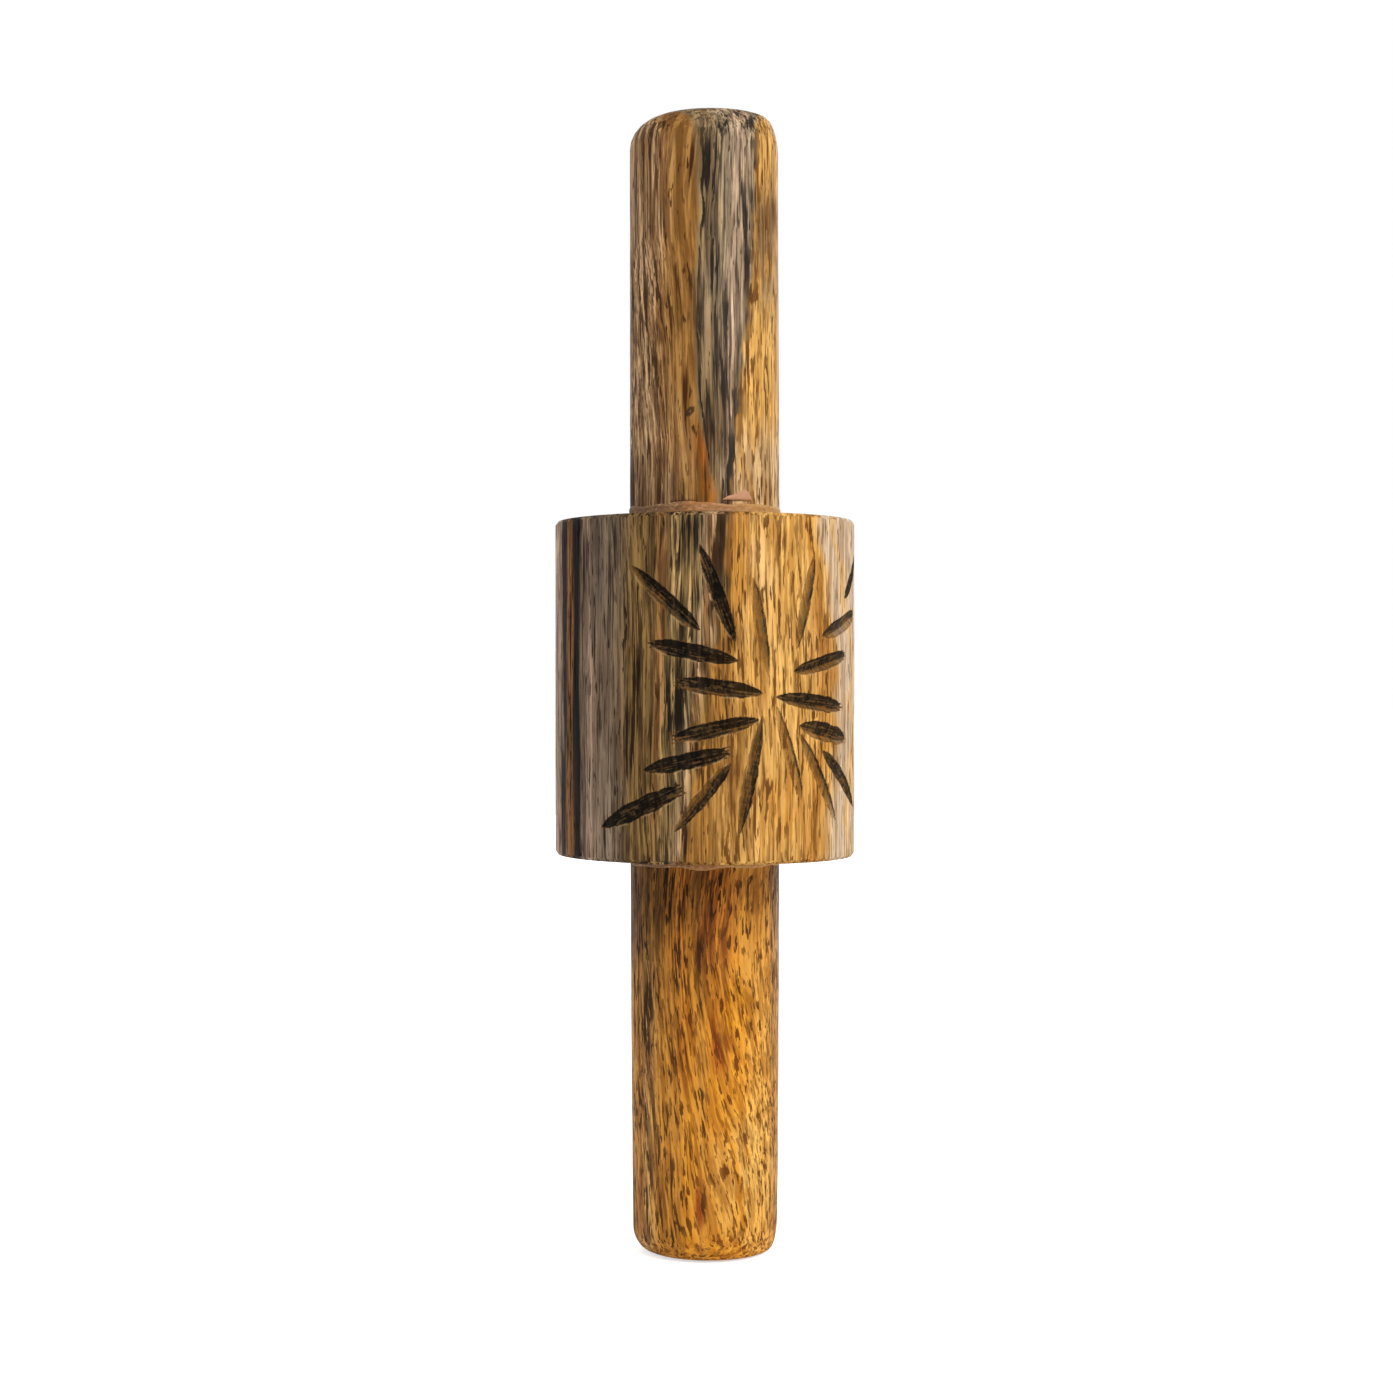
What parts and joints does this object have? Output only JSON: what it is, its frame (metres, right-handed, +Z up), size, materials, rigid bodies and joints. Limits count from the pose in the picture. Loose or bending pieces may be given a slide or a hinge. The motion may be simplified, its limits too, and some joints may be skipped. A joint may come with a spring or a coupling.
{
  "type": "spindle pattern roller",
  "caption": "Hand-carved wooden roller shaped like a drop spindle: a carved drum fixed on the middle of a shaft whose rounded ends are the handles.",
  "frame": {"origin": "centre of the shaft's lower end face", "axes": "+Z up the shaft to the upper end, -Y out of the middle of the star carved on the front of the drum, +X to the right as seen from the front"},
  "size_m": [0.044, 0.044, 0.165],
  "materials": {
    "shaft_wood": "satin-oiled spalted hardwood, orange and olive-brown with dark pores",
    "drum_wood": "satin-oiled spalted hardwood, golden on one side and grey-brown on the other, with dark carved cuts",
    "seam_filler": "matt tan wood filler"
  },
  "bodies": {
    "root": {"shaft": "shaft_wood", "carved_drum": "drum_wood", "upper_seam_bead": "seam_filler", "lower_seam_bead": "seam_filler"}
  },
  "joints": []
}
